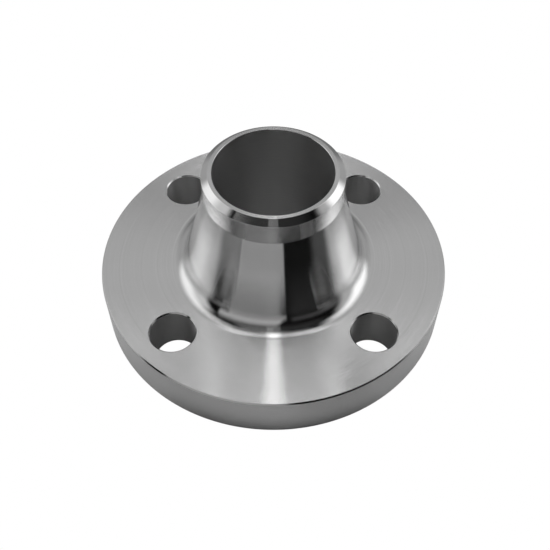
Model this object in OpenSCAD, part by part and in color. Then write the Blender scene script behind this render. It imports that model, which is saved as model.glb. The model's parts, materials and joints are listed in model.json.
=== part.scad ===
// Weld neck flange, raised face, for 1 1/2 inch pipe, pressure class 150.
// One forging, turned all over and drilled. Millimetres. The origin is the centre of
// the gasket face, and +Z runs along the bore towards the end that is welded to the pipe.

/* [Ring] */
// Outside diameter of the ring
ring_d = 127; // [120:0.5:140]
// Thickness of the ring, without the raised face
ring_t = 17.2; // [14.3:0.1:22]
// Chamfer on both edges of the rim
rim_chamfer = 0.45; // [0.2:0.05:1.5]

/* [Raised face] */
// Diameter of the raised gasket face
face_d = 73; // [60:0.5:76]
// Height of the raised gasket face
face_h = 1.6; // [1:0.1:2]
// Chamfer on the edge of the raised face
face_chamfer = 0.2; // [0.1:0.05:0.5]

/* [Bolt holes] */
// Number of bolt holes
bolt_count = 4; // [4:4:8]
// Diameter of the bolt circle
bolt_circle_d = 98.4; // [94:0.2:106]
// Diameter of a bolt hole
bolt_hole_d = 15.9; // [12:0.1:17]
// Countersink on both ends of a bolt hole
bolt_chamfer = 0.45; // [0.2:0.05:0.8]

/* [Hub] */
// Height from the gasket face to the weld end
length = 61.9; // [56:0.1:75]
// Diameter at which the tapered hub would meet the back of the ring
hub_d = 65.1; // [60:0.1:68]
// Radius of the fillet between the hub and the ring
root_fillet_r = 7; // [3:0.5:8]

/* [Weld end] */
// Outside diameter of the neck, which is that of the pipe
neck_d = 48.3; // [46:0.1:52]
// Length of the straight neck above the taper, with its bevel
neck_l = 9.2; // [6:0.1:14]
// Diameter of the bore, which is that of the pipe
bore_d = 40.9; // [36:0.1:42.5]
// Chamfer on both ends of the bore
bore_chamfer = 0.15; // [0.1:0.05:0.5]
// Width of the flat root face, from the bore to the bevel
root_face_w = 1.5; // [0.8:0.1:1.8]
// Angle of the weld bevel, from the plane of the end
bevel_angle = 37.5; // [30:0.5:45]

/* [Hidden] */

$fn = 240;
eps = 1; // how far a cutter runs past what it cuts
hair = 0.0002; // how far the fillet cutter bites, so that it meets the faces cleanly

ring_r = ring_d / 2;
face_r = face_d / 2;
hub_r = hub_d / 2;
neck_r = neck_d / 2;
bore_r = bore_d / 2;
bolt_r = bolt_hole_d / 2;
bolt_circle_r = bolt_circle_d / 2;

back_z = face_h + ring_t;
taper_top_z = length - neck_l;

// The bevel runs from the outside of the root face down to the outside of the neck.
root_r = bore_r + root_face_w;
bevel_h = (neck_r - root_r) * tan(bevel_angle);

// The root fillet is an arc that touches the back face and the taper.
taper_angle = atan((hub_r - neck_r) / (taper_top_z - back_z));
fillet_centre = [hub_r + root_fillet_r * (1 - sin(taper_angle)) / cos(taper_angle), back_z + root_fillet_r];
fillet_on_back = [fillet_centre[0], back_z];
fillet_on_taper = fillet_centre - root_fillet_r * [cos(taper_angle), sin(taper_angle)];

// Half section of the turned blank, with the corner between hub and ring still full.
module blank_section() {
    polygon([
        [bore_r + bore_chamfer, 0],
        [face_r - face_chamfer, 0],
        [face_r, face_chamfer],
        [face_r, face_h],
        [ring_r - rim_chamfer, face_h],
        [ring_r, face_h + rim_chamfer],
        [ring_r, back_z - rim_chamfer],
        [ring_r - rim_chamfer, back_z],
        fillet_on_back,
        fillet_centre,
        fillet_on_taper,
        [neck_r, taper_top_z],
        [neck_r, length - bevel_h],
        [root_r, length],
        [bore_r + bore_chamfer, length],
        [bore_r, length - bore_chamfer],
        [bore_r, bore_chamfer]
    ]);
}

// Blank with the fillet turned at the root of the hub.
module turned_blank() {
    rotate_extrude()
        difference() {
            blank_section();
            translate(fillet_centre) circle(r = root_fillet_r + hair);
        }
}

// Cutter for one bolt hole: a drill with a countersink at each face of the ring.
module bolt_hole() {
    translate([0, 0, face_h - eps]) cylinder(h = ring_t + 2 * eps, r = bolt_r);
    for (end = [0, 1])
        translate([0, 0, face_h + end * ring_t])
            mirror([0, 0, end])
                translate([0, 0, -eps])
                    cylinder(h = bolt_chamfer + eps, r1 = bolt_r + bolt_chamfer + eps, r2 = bolt_r);
}

// Bolt holes straddle the centre lines, as flange drilling always does.
module bolt_holes() {
    for (i = [0 : bolt_count - 1])
        rotate([0, 0, (i + 0.5) * 360 / bolt_count])
            translate([bolt_circle_r, 0, 0])
                bolt_hole();
}

module weld_neck_flange() {
    color("silver")
        difference() {
            turned_blank();
            bolt_holes();
        }
}

weld_neck_flange();
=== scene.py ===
"""Looks, studio and camera for the weld neck flange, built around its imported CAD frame.

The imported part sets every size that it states, and the others are those of its source. The
piece drawn here follows the same outline, with each machined edge slightly rounded, the
gasket face grooved, and turned steel all over.
"""

import json
import math
from collections import namedtuple

import bpy
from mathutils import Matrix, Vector


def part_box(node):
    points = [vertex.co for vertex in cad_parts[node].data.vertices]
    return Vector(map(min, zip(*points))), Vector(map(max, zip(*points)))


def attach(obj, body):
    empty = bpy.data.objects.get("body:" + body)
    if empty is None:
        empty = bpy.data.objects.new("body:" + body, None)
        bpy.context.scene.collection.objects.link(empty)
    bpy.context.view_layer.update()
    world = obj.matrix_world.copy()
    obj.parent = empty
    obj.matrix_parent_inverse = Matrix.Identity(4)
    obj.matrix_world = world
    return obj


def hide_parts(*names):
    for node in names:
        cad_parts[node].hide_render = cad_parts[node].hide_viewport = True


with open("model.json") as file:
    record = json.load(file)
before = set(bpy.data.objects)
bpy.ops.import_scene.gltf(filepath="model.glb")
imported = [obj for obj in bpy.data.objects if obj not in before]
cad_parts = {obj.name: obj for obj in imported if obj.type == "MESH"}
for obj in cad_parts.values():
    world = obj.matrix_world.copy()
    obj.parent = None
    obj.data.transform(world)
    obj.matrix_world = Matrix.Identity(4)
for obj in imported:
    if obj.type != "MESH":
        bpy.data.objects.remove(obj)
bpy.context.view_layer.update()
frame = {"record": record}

MM = 0.001
NODE = "weld_neck_flange"

# ---------------------------------------------------------------- sizes, in millimetres

MOUNTS = {mount["name"]: mount for mount in frame["record"]["mounts"]}
BOX_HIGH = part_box(NODE)[1]

RING_R = BOX_HIGH.x / MM
LENGTH = BOX_HIGH.z / MM
BACK_Z = MOUNTS["nut_face"]["pos_m"][2] / MM
BORE_R = MOUNTS["pipe_bore"]["dims"]["r_mm"]
NECK_R = MOUNTS["weld_neck"]["dims"]["r_mm"]
BOLT_R = MOUNTS["bolt_holes"]["dims"]["hole_r_mm"]
BOLT_CIRCLE_R = MOUNTS["bolt_holes"]["dims"]["pcd_mm"] / 2
BOLT_COUNT = MOUNTS["bolt_holes"]["dims"]["count"]

# Sizes that no mount states, as in the CAD source.
FACE_R = 36.5
FACE_H = 1.6
HUB_R = 32.55
NECK_L = 9.2
ROOT_FACE_W = 1.5
BEVEL_ANGLE = math.radians(37.5)
ROOT_FILLET_R = 7.0
RIM_CHAMFER = 0.45
FACE_CHAMFER = 0.2
BORE_CHAMFER = 0.15
BOLT_CHAMFER = 0.45

# Detail that only the visible mesh has.
EDGE_R = 0.1  # rounding of each machined edge
BLEND_R = 2.0  # rounding where the taper meets the neck
NOSE_R = 0.3  # corner that the tool leaves beside the raised face
GROOVE_PITCH = 0.8  # gasket-gripping grooves, the usual stock finish
GROOVE_DEPTH = 0.05

# Fineness of the mesh.
TURNS = 256  # divisions of a full turn
BLOCK = 9  # divisions from a bolt hole's centre line to the side of its block of mesh
HOLE_SIDES = 8 * BLOCK  # divisions of a bolt hole, one for each on its block's border
HOLE_RINGS = 4  # rings of faces from a bolt hole's rim to its block's border
INNER_RINGS = 1  # rings of faces on a drilled plate inside the blocks
OUTER_RINGS = 2  # rings of faces on a drilled plate outside the blocks
GROOVE_STEPS = 6  # divisions of one groove
ARC_STEP = math.radians(6)  # longest step along an arc
LONG_STEP = 2.5  # longest step along a straight edge
KEY_DIGITS = 5  # decimals to which two points that are the same agree
NEAR = 0.001  # how close two heights that are the same come
FLAT = 0.9999  # least vertical part of a flat surface's normal

# ---------------------------------------------------------------- outlines

# A corner of an outline: its place, its rounding, the surface that its arc belongs to and
# the surface of the edge that leaves it. A surface of None is left for a drilled plate.
Corner = namedtuple("Corner", "r z rounding arc edge")

# A point on an outline and the outward normal there.
Sample = namedtuple("Sample", "r z nr nz")


def body_corners():
    """The closed half section of the turned body, anticlockwise from the bore's lower end."""
    root_r = BORE_R + ROOT_FACE_W
    bevel_z = LENGTH - (NECK_R - root_r) * math.tan(BEVEL_ANGLE)
    return [
        Corner(BORE_R + BORE_CHAMFER, 0, EDGE_R, "edge", "gasket_face"),
        Corner(FACE_R - FACE_CHAMFER, 0, EDGE_R, "edge", "edge"),
        Corner(FACE_R, FACE_CHAMFER, EDGE_R, "edge", "face_rim"),
        Corner(FACE_R, FACE_H, NOSE_R, "face_rim", None),
        Corner(RING_R - RIM_CHAMFER, FACE_H, EDGE_R, "edge", "edge"),
        Corner(RING_R, FACE_H + RIM_CHAMFER, EDGE_R, "edge", "rim"),
        Corner(RING_R, BACK_Z - RIM_CHAMFER, EDGE_R, "edge", "edge"),
        Corner(RING_R - RIM_CHAMFER, BACK_Z, EDGE_R, "edge", None),
        Corner(HUB_R, BACK_Z, ROOT_FILLET_R, "fillet", "hub"),
        Corner(NECK_R, LENGTH - NECK_L, BLEND_R, "hub", "neck"),
        Corner(NECK_R, bevel_z, EDGE_R, "neck", "bevel"),
        Corner(root_r, LENGTH, EDGE_R, "bevel", "root_face"),
        Corner(BORE_R + BORE_CHAMFER, LENGTH, EDGE_R, "root_face", "edge"),
        Corner(BORE_R, LENGTH - BORE_CHAMFER, EDGE_R, "edge", "bore"),
        Corner(BORE_R, BORE_CHAMFER, EDGE_R, "edge", "edge"),
    ]


def hole_corners():
    """A bolt hole's section about its own axis, from the back of the ring to its front."""
    mouth_r = BOLT_R + BOLT_CHAMFER
    away_r = 2 * mouth_r
    return [
        Corner(away_r, BACK_Z, 0, None, None),
        Corner(mouth_r, BACK_Z, EDGE_R, "edge", "edge"),
        Corner(BOLT_R, BACK_Z - BOLT_CHAMFER, EDGE_R, "edge", "bolt_hole"),
        Corner(BOLT_R, FACE_H + BOLT_CHAMFER, EDGE_R, "edge", "edge"),
        Corner(mouth_r, FACE_H, EDGE_R, "edge", None),
        Corner(away_r, FACE_H, 0, None, None),
    ]


def heading(start, end):
    return Vector((end.r - start.r, end.z - start.z)).normalized()


def turned(direction, angle):
    cosine, sine = math.cos(angle), math.sin(angle)
    return Vector((direction.x * cosine - direction.y * sine, direction.x * sine + direction.y * cosine))


def rounded(before, corner, after):
    """Samples along the arc that rounds a corner. Outside is on the right of the way travelled."""
    way_in, way_out = heading(before, corner), heading(corner, after)
    turn = math.atan2(way_in.x * way_out.y - way_in.y * way_out.x, way_in.dot(way_out))
    side = math.copysign(1.0, turn)
    reach = corner.rounding * math.tan(abs(turn) / 2)
    start = Vector((corner.r, corner.z)) - way_in * reach
    centre = start + Vector((-way_in.y, way_in.x)) * corner.rounding * side
    steps = max(2, math.ceil(abs(turn) / ARC_STEP))
    samples = []
    for step in range(steps + 1):
        way = turned(way_in, turn * step / steps)
        outward = Vector((way.y, -way.x))
        place = centre + outward * corner.rounding * side
        samples.append(Sample(place.x, place.y, outward.x, outward.y))
    return samples


def straight(start, end):
    """Samples along a straight edge, ends included."""
    steps = max(1, math.ceil(math.hypot(end.r - start.r, end.z - start.z) / LONG_STEP))
    shares = [step / steps for step in range(steps + 1)]
    return [
        Sample(start.r + (end.r - start.r) * s, start.z + (end.z - start.z) * s, start.nr, start.nz)
        for s in shares
    ]


def grooved(start, end):
    """Samples along the gasket face, cut upwards into concentric grooves."""
    run = end.r - start.r
    count = round(run / GROOVE_PITCH)
    steps = count * GROOVE_STEPS
    samples = []
    for step in range(steps + 1):
        phase = 2 * math.pi * count * step / steps
        depth = GROOVE_DEPTH / 2 * (1 - math.cos(phase))
        slope = GROOVE_DEPTH / 2 * math.sin(phase) * 2 * math.pi * count / run
        outward = Vector((slope, -1)).normalized()
        samples.append(Sample(start.r + run * step / steps, start.z + depth, outward.x, outward.y))
    return samples


def traced(corners, closed):
    """The outline as stretches, each a run of samples and the surface it belongs to."""
    count = len(corners)
    inner = range(count) if closed else range(1, count - 1)
    arcs = {i: rounded(corners[i - 1], corners[i], corners[(i + 1) % count]) for i in inner}
    stretches = []
    for i, arc in arcs.items():
        stretches.append((arc, corners[i].arc))
        following = arcs.get((i + 1) % count)
        if corners[i].edge and following:
            edge = grooved if corners[i].edge == "gasket_face" else straight
            stretches.append((edge(arc[-1], following[0]), corners[i].edge))
    return stretches


# ---------------------------------------------------------------- mesh


class Body:
    """Collects quads with shared points, each point with its own exact normal."""

    def __init__(self):
        self.places = []
        self.normals = []
        self.quads = []
        self.surfaces = []
        self.known = {}

    def point(self, place, normal):
        key = tuple(round(c, KEY_DIGITS) for c in place)
        if key not in self.known:
            self.known[key] = len(self.places)
            self.places.append(Vector(place))
            self.normals.append(Vector(normal))
        return self.known[key]

    def quad(self, corners, surface):
        """Adds a face, wound so that it faces the way its points' normals do."""
        a, b, c = (self.places[i] for i in corners[:3])
        facing = sum((self.normals[i] for i in corners), Vector((0, 0, 0)))
        inside_out = (b - a).cross(c - b).dot(facing) < 0
        self.quads.append(corners[::-1] if inside_out else corners)
        self.surfaces.append(surface)

    def ring(self, sample, centre, sides, start):
        """Indices of the points that one outline sample leaves as it goes round an axis."""
        indices = []
        for side in range(sides):
            angle = start + 2 * math.pi * side / sides
            cosine, sine = math.cos(angle), math.sin(angle)
            place = (centre[0] + sample.r * cosine, centre[1] + sample.r * sine, sample.z)
            indices.append(self.point(place, (sample.nr * cosine, sample.nr * sine, sample.nz)))
        return indices

    def revolve(self, stretches, centre=(0.0, 0.0), sides=TURNS, start=0.0):
        for samples, surface in stretches:
            rings = [self.ring(sample, centre, sides, start) for sample in samples]
            for lower, upper in zip(rings, rings[1:]):
                self.join(lower, upper, surface)

    def join(self, lower, upper, surface):
        """Quads between two closed rings with the same number of points."""
        for i in range(len(lower)):
            j = (i + 1) % len(lower)
            self.quad((lower[i], lower[j], upper[j], upper[i]), surface)


def spaced(start, end, steps):
    return [start + (end - start) * step / steps for step in range(1, steps + 1)]


def drilled_plate(body, z, facing, inner_r, outer_r, mouth, surface):
    """A flat annulus with a round hole on each bolt position, all in quads.

    The annulus is a grid of rings and columns. Around each hole a block of the grid is left
    out, and rings of quads lead from the block's square edge to the hole's round one.
    """
    half = BOLT_CIRCLE_R * math.sin(2 * math.pi * BLOCK / TURNS)
    block_in, block_out = BOLT_CIRCLE_R - half, BOLT_CIRCLE_R + half
    radii = [inner_r]
    radii += spaced(inner_r, block_in, INNER_RINGS)
    first = len(radii) - 1
    radii += spaced(block_in, block_out, 2 * BLOCK)
    last = len(radii) - 1
    radii += spaced(block_out, outer_r, OUTER_RINGS)
    rings = [body.ring(Sample(r, z, 0, facing), (0.0, 0.0), TURNS, 0.0) for r in radii]

    pitch = TURNS // BOLT_COUNT
    for row in range(len(rings) - 1):
        in_block_row = first <= row < last
        for column in range(TURNS):
            from_hole = (column - pitch // 2) % pitch
            in_block_column = from_hole < BLOCK or from_hole >= pitch - BLOCK
            if in_block_row and in_block_column:
                continue
            beside = (column + 1) % TURNS
            lower, upper = rings[row], rings[row + 1]
            body.quad((lower[column], lower[beside], upper[beside], upper[column]), surface)

    for hole in range(BOLT_COUNT):
        middle = hole * pitch + pitch // 2
        low, high = middle - BLOCK, middle + BLOCK
        border = [rings[row][low] for row in range(first, last)]
        border += [rings[last][column] for column in range(low, high)]
        border += [rings[row][high] for row in range(last, first, -1)]
        border += [rings[first][column] for column in range(high, low, -1)]
        rim = body.ring(mouth, hole_centre(hole), HOLE_SIDES, hole_start(hole))
        outer = border
        for step in range(HOLE_RINGS - 1, -1, -1):
            share = step / HOLE_RINGS
            nearer = rim if step == 0 else between(body, rim, border, share, facing)
            body.join(outer, nearer, surface)
            outer = nearer


def between(body, rim, border, share, facing):
    """A ring of points part of the way from a hole's rim to the border of its block."""
    places = [body.places[a].lerp(body.places[b], share) for a, b in zip(rim, border)]
    return [body.point(place, (0, 0, facing)) for place in places]


def hole_azimuth(hole):
    return 2 * math.pi * (hole + 0.5) / BOLT_COUNT


def hole_centre(hole):
    azimuth = hole_azimuth(hole)
    return BOLT_CIRCLE_R * math.cos(azimuth), BOLT_CIRCLE_R * math.sin(azimuth)


def hole_start(hole):
    """The angle of a hole's first point, towards the first corner of its block."""
    return hole_azimuth(hole) - math.radians(135)


def plate_radii(outline, z, facing):
    """The radii at which the outline breaks off for the drilled plate at one height."""
    ends = [end for samples, _ in outline for end in (samples[0], samples[-1])]
    radii = [end.r for end in ends if abs(end.z - z) < NEAR and end.nz * facing > FLAT]
    return min(radii), max(radii)


def flange_surface():
    """The whole skin of the flange: the turned outline, the bolt holes and the two plates."""
    body = Body()
    outline = traced(body_corners(), closed=True)
    body.revolve(outline)

    bolt_hole = traced(hole_corners(), closed=False)
    for hole in range(BOLT_COUNT):
        body.revolve(bolt_hole, hole_centre(hole), HOLE_SIDES, hole_start(hole))

    back_mouth = bolt_hole[0][0][0]
    front_mouth = bolt_hole[-1][0][-1]
    for z, facing, mouth in ((BACK_Z, 1.0, back_mouth), (FACE_H, -1.0, front_mouth)):
        inner_r, outer_r = plate_radii(outline, z, facing)
        drilled_plate(body, z, facing, inner_r, outer_r, mouth, "turned_face")
    return body


def build_flange(materials):
    body = flange_surface()
    mesh = bpy.data.meshes.new("flange")
    mesh.from_pydata([place * MM for place in body.places], [], body.quads)
    names = list(materials)
    for name in names:
        mesh.materials.append(materials[name])
    mesh.polygons.foreach_set("material_index", [names.index(surface) for surface in body.surfaces])
    mesh.shade_smooth()
    mesh.normals_split_custom_set_from_vertices(body.normals)
    mesh.validate()
    flange = bpy.data.objects.new("flange_body", mesh)
    bpy.context.scene.collection.objects.link(flange)
    return flange


# ---------------------------------------------------------------- materials


class Nodes:
    """Short ways to add the nodes that a shader is built from."""

    def __init__(self, tree):
        self.tree = tree
        tree.nodes.clear()

    def add(self, kind, **settings):
        node = self.tree.nodes.new(kind)
        for name, value in settings.items():
            setattr(node, name, value)
        return node

    def feed(self, socket, value):
        if isinstance(value, bpy.types.NodeSocket):
            self.tree.links.new(value, socket)
        else:
            socket.default_value = value

    def math(self, operation, *values):
        node = self.add("ShaderNodeMath", operation=operation)
        for socket, value in zip(node.inputs, values):
            self.feed(socket, value)
        return node.outputs[0]

    def vector(self, operation, *values, out="Vector"):
        node = self.add("ShaderNodeVectorMath", operation=operation)
        for socket, value in zip(node.inputs, values):
            self.feed(socket, value)
        return node.outputs[out]

    def scaled(self, vector, factor):
        node = self.add("ShaderNodeVectorMath", operation="SCALE")
        self.feed(node.inputs[0], vector)
        self.feed(node.inputs["Scale"], factor)
        return node.outputs["Vector"]

    def split(self, vector):
        node = self.add("ShaderNodeSeparateXYZ")
        self.feed(node.inputs[0], vector)
        return node.outputs

    def joined(self, x, y, z):
        node = self.add("ShaderNodeCombineXYZ")
        for socket, value in zip(node.inputs, (x, y, z)):
            self.feed(socket, value)
        return node.outputs[0]

    def ramp(self, value, low, high, to_low=0.0, to_high=1.0, kind="SMOOTHSTEP"):
        node = self.add("ShaderNodeMapRange", interpolation_type=kind)
        for name, setting in (
            ("Value", value),
            ("From Min", low),
            ("From Max", high),
            ("To Min", to_low),
            ("To Max", to_high),
        ):
            self.feed(node.inputs[name], setting)
        return node.outputs[0]

    def grey(self, level):
        return self.joined(level, level, level)

    def noise(self, place, scale, detail=2.0):
        """Noise from -0.5 to 0.5 along a line, or through space if place is a vector."""
        line = place.type == "VALUE"
        node = self.add("ShaderNodeTexNoise", noise_dimensions="1D" if line else "3D")
        self.feed(node.inputs["W" if line else "Vector"], place)
        node.inputs["Scale"].default_value = scale
        node.inputs["Detail"].default_value = detail
        return self.math("SUBTRACT", node.outputs[0], 0.5)


# How a surface was cut. Fine, feed and wave are the slopes of its fine tool marks, its feed
# marks and its long waves, and feed_pitch is in millimetres. Shine is the share of light that
# it reflects, and roughness is its shader's. About_hole is for marks that run round a bolt
# hole and not round the bore. Flat_shine is the shine that it fades to as it turns face up.
Finish = namedtuple(
    "Finish",
    "fine feed feed_pitch wave shine roughness about_hole flat_shine",
    defaults=(False, None),
)

FINISHES = {
    "turned_face": Finish(fine=0.30, feed=0.05, feed_pitch=0.3, wave=0.04, shine=0.66, roughness=0.10),
    "hub": Finish(fine=0.11, feed=0.04, feed_pitch=0.3, wave=0.01, shine=0.88, roughness=0.10),
    "fillet": Finish(
        fine=0.11, feed=0.04, feed_pitch=0.3, wave=0.01, shine=0.88, roughness=0.10, flat_shine=0.66
    ),
    "neck": Finish(fine=0.14, feed=0.05, feed_pitch=0.3, wave=0.01, shine=0.98, roughness=0.14),
    "bevel": Finish(fine=0.05, feed=0.02, feed_pitch=0.3, wave=0.01, shine=0.70, roughness=0.08),
    "root_face": Finish(fine=0.20, feed=0.10, feed_pitch=0.3, wave=0.02, shine=0.66, roughness=0.12),
    "bore": Finish(fine=0.10, feed=0.08, feed_pitch=0.4, wave=0.02, shine=0.64, roughness=0.28),
    "rim": Finish(fine=0.25, feed=0.10, feed_pitch=0.3, wave=0.02, shine=0.82, roughness=0.25),
    "face_rim": Finish(fine=0.20, feed=0.10, feed_pitch=0.3, wave=0.03, shine=0.62, roughness=0.25),
    "gasket_face": Finish(fine=0.10, feed=0.05, feed_pitch=0.3, wave=0.02, shine=0.62, roughness=0.22),
    "bolt_hole": Finish(
        fine=0.15, feed=0.15, feed_pitch=0.5, wave=0.04, shine=0.60, roughness=0.40, about_hole=True
    ),
    "edge": Finish(fine=0.10, feed=0.05, feed_pitch=0.3, wave=0.02, shine=0.70, roughness=0.15),
}


# What all the finishes share. The scales are in cycles for each millimetre.
MARK_SCALE = 997.0  # fine marks, far too close together to be seen one by one
WAVE_SCALE = 0.3
BAND_SCALE = 1.5  # rings of slightly brighter and darker steel
BAND_DEPTH = 0.06
STAIN_SCALE = 0.04  # broad patches from handling
STAIN_DETAIL = 4.0
STAIN_DEPTH = 0.08
FACE_UP_FROM = 0.2  # vertical part of the normal at which flat_shine begins to count
ANISOTROPY = 0.9


def tool_path(nodes, place, about_hole):
    """The distance along the tool's feed, and the direction that the tool cut in."""
    x, y, z = nodes.split(place)
    if about_hole:
        offset = BOLT_CIRCLE_R * math.cos(hole_azimuth(0))
        x = nodes.math("SUBTRACT", x, nodes.math("MULTIPLY", nodes.math("SIGN", x), offset))
        y = nodes.math("SUBTRACT", y, nodes.math("MULTIPLY", nodes.math("SIGN", y), offset))
    squares = nodes.math("ADD", nodes.math("MULTIPLY", x, x), nodes.math("MULTIPLY", y, y))
    along = nodes.math("SUBTRACT", z, nodes.math("SQRT", squares))
    tangent = nodes.vector("NORMALIZE", nodes.joined(nodes.math("MULTIPLY", y, -1.0), x, 0.0))
    return along, tangent


def mark_slope(nodes, along, finish):
    """How far the tool marks tilt the surface, across the way that they run."""
    white = nodes.add("ShaderNodeTexWhiteNoise", noise_dimensions="1D")
    nodes.feed(white.inputs["W"], nodes.math("MULTIPLY", along, MARK_SCALE))
    centred = nodes.math("SUBTRACT", white.outputs["Value"], 0.5)
    fine = nodes.math("MULTIPLY", centred, 2 * finish.fine)
    feed = nodes.math("MULTIPLY", nodes.noise(along, 1 / finish.feed_pitch), 2 * finish.feed)
    wave = nodes.math("MULTIPLY", nodes.noise(along, WAVE_SCALE), 2 * finish.wave)
    return nodes.math("ADD", fine, nodes.math("ADD", feed, wave))


def steel_shine(nodes, place, along, normal, finish):
    """The share of light that the steel reflects, with faint bands and stains."""
    bands = nodes.math("MULTIPLY", nodes.noise(along, BAND_SCALE), BAND_DEPTH)
    stains = nodes.math("MULTIPLY", nodes.noise(place, STAIN_SCALE, STAIN_DETAIL), STAIN_DEPTH)
    polish = finish.shine
    if finish.flat_shine:
        facing_up = nodes.split(normal)[2]
        polish = nodes.ramp(facing_up, FACE_UP_FROM, 1.0, finish.shine, finish.flat_shine, "LINEAR")
    return nodes.math("ADD", polish, nodes.math("ADD", bands, stains))


def steel(name, finish):
    """Bare turned steel. Tool marks run round an axis, so light spreads only across them."""
    material = bpy.data.materials.new(name)
    material.use_nodes = True
    nodes = Nodes(material.node_tree)
    place = nodes.scaled(nodes.add("ShaderNodeTexCoord").outputs["Object"], 1 / MM)
    along, tangent = tool_path(nodes, place, finish.about_hole)
    normal = nodes.add("ShaderNodeNewGeometry").outputs["Normal"]
    across = nodes.vector("CROSS_PRODUCT", tangent, normal)
    tilt = nodes.scaled(across, mark_slope(nodes, along, finish))
    marked = nodes.vector("NORMALIZE", nodes.vector("ADD", normal, tilt))

    shader = nodes.add("ShaderNodeBsdfPrincipled")
    shader.inputs["Metallic"].default_value = 1.0
    shader.inputs["Anisotropic"].default_value = ANISOTROPY
    nodes.feed(shader.inputs["Base Color"], nodes.grey(steel_shine(nodes, place, along, normal, finish)))
    nodes.feed(shader.inputs["Roughness"], finish.roughness)
    nodes.feed(shader.inputs["Tangent"], across)
    nodes.feed(shader.inputs["Normal"], marked)
    output = nodes.add("ShaderNodeOutputMaterial")
    nodes.feed(output.inputs["Surface"], shader.outputs[0])
    return material


# ---------------------------------------------------------------- studio

# A soft box in the studio's sky: its spans and the softness of its edges, in degrees, its
# brightness, and how far its sides lean, in degrees of azimuth for each of elevation.
# Azimuth 0 is +X, and the camera stands at -90.
Panel = namedtuple("Panel", "azimuths elevations softness brightness lean", defaults=(0.0,))

PANELS = {
    "back_low": Panel((60, 120), (-30, 34), 14, 0.2),
    "back_wall": Panel((35, 145), (34, 64), 14, 0.54),
    "back_top": Panel((60, 120), (64, 76), 10, 2.0),
    "back_zenith": Panel((20, 160), (76, 84), 6, 0.5),
    "zenith": Panel((-180, 180), (84, 90), 4, 0.5),
    "right_corner": Panel((35, 60), (-30, 34), 14, 0.42),
    "right_box_foot": Panel((6, 35), (-30, 14), 12, 0.5),
    "right_box": Panel((6, 35), (14, 68), 12, 1.45),
    "right_side_foot": Panel((-12, 6), (-30, 14), 12, 0.46),
    "right_side": Panel((-12, 6), (14, 49), 12, 0.5),
    "right_fore": Panel((-36, -12), (-30, 14), 12, 0.08),
    "left_corner": Panel((120, 145), (-30, 34), 14, 0.42),
    "left_box_foot": Panel((145, 172), (-30, 14), 12, 0.5),
    "left_box": Panel((145, 172), (14, 76), 12, 1.2),
    "left_side_foot": Panel((172, 194), (-30, 14), 10, 0.45),
    "left_side": Panel((172, 194), (14, 49), 10, 0.7),
    "left_fore": Panel((194, 226), (-30, 0), 8, 0.22),
    "card_foot": Panel((-134, -76.5), (-30, -4), 3, 0.32),
    "card_middle": Panel((-138, -76.5), (-4, 14), 3, 0.24),
    "card": Panel((-146, -76.5), (14, 34), 3, 0.46, -0.2),
    "card_head": Panel((-148, -76.5), (34, 49), 3, 0.27, -0.2),
    "card_top": Panel((-140, -76.5), (64, 76), 3, 0.25, -0.2),
    "dim_front": Panel((-146, -36), (-30, 50), 8, 0.005),
    "dim_corner": Panel((-70, -12), (9, 22), 8, 0.075),
    "dim_top": Panel((-146, -16), (50, 78), 8, 0.03),
}

# A long light overhead: its half width in degrees as seen from the apex, its reach and its
# brightness. The reach and the apex are places along Y on the unit sphere of directions, and
# the softness of its sides and ends is measured there too.
Strip = namedtuple("Strip", "half_angle reach brightness")

STRIP_APEX = 0.566
STRIP_SIDE_SOFT = 0.002
STRIP_END_SOFT = 0.03
STRIPS = {
    "core": Strip(2.5, (0.0, 0.35), 0.5),
    "overhead": Strip(5.2, (0.0, 0.42), 1.15),
    "fore": Strip(4.5, (-0.6, -0.2), 0.17),
}


def panel_glow(nodes, azimuth, elevation, panel):
    """Light from one soft box, for the direction looked in."""
    right, left = panel.azimuths
    middle = (right + left) / 2
    half = (left - right) / 2
    leant = nodes.math("MULTIPLY_ADD", elevation, panel.lean, middle)
    turn = nodes.math("WRAP", nodes.math("SUBTRACT", azimuth, leant), 180.0, -180.0)
    soft = panel.softness / 2
    glow = nodes.ramp(nodes.math("ABSOLUTE", turn), half - soft, half + soft, panel.brightness, 0.0)
    low, high = panel.elevations
    glow = nodes.math("MULTIPLY", glow, nodes.ramp(elevation, low - soft, low + soft))
    return nodes.math("MULTIPLY", glow, nodes.ramp(elevation, high - soft, high + soft, 1.0, 0.0))


def strip_glow(nodes, x, y, z, strip):
    """Light from one overhead strip, which widens from behind the part towards the camera."""
    side, end = STRIP_SIDE_SOFT, STRIP_END_SOFT
    spread = math.tan(math.radians(strip.half_angle))
    half_width = nodes.math("MULTIPLY", nodes.math("SUBTRACT", STRIP_APEX, y), spread)
    inside = nodes.math("SUBTRACT", half_width, nodes.math("ABSOLUTE", x))
    glow = nodes.ramp(inside, -side, side, 0.0, strip.brightness)
    front, back = strip.reach
    glow = nodes.math("MULTIPLY", glow, nodes.ramp(y, front - end, front + end))
    glow = nodes.math("MULTIPLY", glow, nodes.ramp(y, back - end, back + end, 1.0, 0.0))
    return nodes.math("MULTIPLY", glow, nodes.math("GREATER_THAN", z, 0.0))


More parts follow.
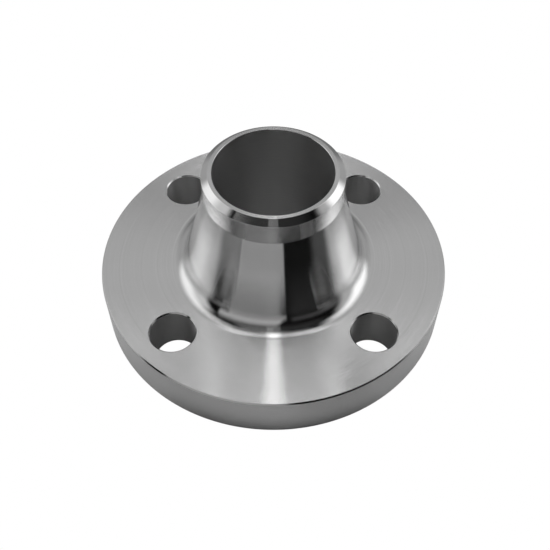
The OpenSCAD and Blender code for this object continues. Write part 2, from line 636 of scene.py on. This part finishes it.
def world_light():
    """Soft boxes as the steel sees them, around a camera that sees plain white."""
    world = bpy.data.worlds.new("studio")
    bpy.context.scene.world = world
    world.use_nodes = True
    nodes = Nodes(world.node_tree)
    x, y, z = nodes.split(nodes.add("ShaderNodeTexCoord").outputs["Generated"])
    azimuth = nodes.math("DEGREES", nodes.math("ARCTAN2", y, x))
    elevation = nodes.math("DEGREES", nodes.math("ARCSINE", z))
    light = 0.0
    for panel in PANELS.values():
        light = nodes.math("ADD", light, panel_glow(nodes, azimuth, elevation, panel))
    for strip in STRIPS.values():
        light = nodes.math("ADD", light, strip_glow(nodes, x, y, z, strip))

    seen = nodes.add("ShaderNodeLightPath").outputs["Is Camera Ray"]
    level = nodes.ramp(seen, 0.0, 1.0, light, 1.0, "LINEAR")
    background = nodes.add("ShaderNodeBackground")
    nodes.feed(background.inputs["Color"], nodes.grey(level))
    output = nodes.add("ShaderNodeOutputWorld")
    nodes.feed(output.inputs["Surface"], background.outputs[0])


# The floor, in metres. The steel sees a grey sheet under the part, which fades out, and a
# shadow is painted into the sheet's grey beside the rim on the camera's side.
FLOOR_RADIUS = 0.6
FLOOR_SIDES = 96
SHEET_LEVEL = 0.95
SHEET_FADE = (0.083, 0.093)
# Painted shadow on the sheet at the rim's foot: its darkest grey, and how far from the axis and how far
# towards the camera it reaches, in metres.
RIM_SHADE_LEVEL = 0.3
RIM_SHADE_REACH = (0.064, 0.073)
RIM_SHADE_AHEAD = (-0.062, -0.048)


def mixed(nodes, share, first, second):
    """A blend of two shaders, the second one where the share is 1."""
    node = nodes.add("ShaderNodeMixShader")
    for socket, value in zip(node.inputs, (share, first, second)):
        nodes.feed(socket, value)
    return node.outputs[0]


def sheet_level_with_painted_shadow(nodes, place, distance):
    """How pale the sheet is, at a place on it, darkened by a painted shadow beside the rim on the
    camera's side.
    """
    # Painted shadow: the sheet's grey darkens near the rim's foot on the camera's side.
    by_rim = nodes.ramp(distance, *RIM_SHADE_REACH, 1.0, 0.0)
    ahead = nodes.ramp(nodes.split(place)[1], *RIM_SHADE_AHEAD, 1.0, 0.0)
    shade = nodes.math("MULTIPLY", by_rim, ahead)
    return nodes.ramp(shade, 0.0, 1.0, SHEET_LEVEL, RIM_SHADE_LEVEL, "LINEAR")


def floor_material():
    """Plain white to the camera, and to the steel a grey sheet with a painted shadow by the rim and
    nothing beyond it.
    """
    material = bpy.data.materials.new("floor")
    material.use_nodes = True
    nodes = Nodes(material.node_tree)
    place = nodes.add("ShaderNodeTexCoord").outputs["Object"]
    distance = nodes.vector("LENGTH", place, out="Value")
    sheet = nodes.add("ShaderNodeBsdfDiffuse")
    nodes.feed(sheet.inputs["Color"], nodes.grey(sheet_level_with_painted_shadow(nodes, place, distance)))
    nothing = nodes.add("ShaderNodeBsdfTransparent")
    white = nodes.add("ShaderNodeEmission")

    reflected = mixed(nodes, nodes.ramp(distance, *SHEET_FADE), sheet.outputs[0], nothing.outputs[0])
    seen = nodes.add("ShaderNodeLightPath").outputs["Is Camera Ray"]
    output = nodes.add("ShaderNodeOutputMaterial")
    nodes.feed(output.inputs["Surface"], mixed(nodes, seen, reflected, white.outputs[0]))
    return material


def floor():
    bpy.ops.mesh.primitive_circle_add(
        vertices=FLOOR_SIDES, radius=FLOOR_RADIUS, fill_type="NGON", location=(0, 0, 0)
    )
    ground = bpy.context.object
    ground.name = "floor"
    ground.data.materials.append(floor_material())


# The camera stands straight in front, on the -Y side, and looks down at the part.
CAMERA_ELEVATION = math.radians(50.9)
CAMERA_DISTANCE = 0.297
CAMERA_AIM = Vector((0.57, 0.0, 7.05)) * MM
CAMERA_LENS = 50.45
CAMERA_CLIP_START = 0.01


def add_camera():
    camera = bpy.data.objects.new("camera", bpy.data.cameras.new("camera"))
    camera.data.lens = CAMERA_LENS
    camera.data.clip_start = CAMERA_CLIP_START
    away = Vector((0.0, -math.cos(CAMERA_ELEVATION), math.sin(CAMERA_ELEVATION)))
    camera.location = CAMERA_AIM + away * CAMERA_DISTANCE
    camera.rotation_euler = (math.pi / 2 - CAMERA_ELEVATION, 0.0, 0.0)
    bpy.context.scene.collection.objects.link(camera)
    bpy.context.scene.camera = camera


def colour_management():
    view = bpy.context.scene.view_settings
    view.view_transform = "Standard"
    view.look = "None"


# ---------------------------------------------------------------- the scene

flange = build_flange({name: steel(name, finish) for name, finish in FINISHES.items()})
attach(flange, "root")
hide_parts(NODE)

world_light()
floor()
add_camera()
colour_management()
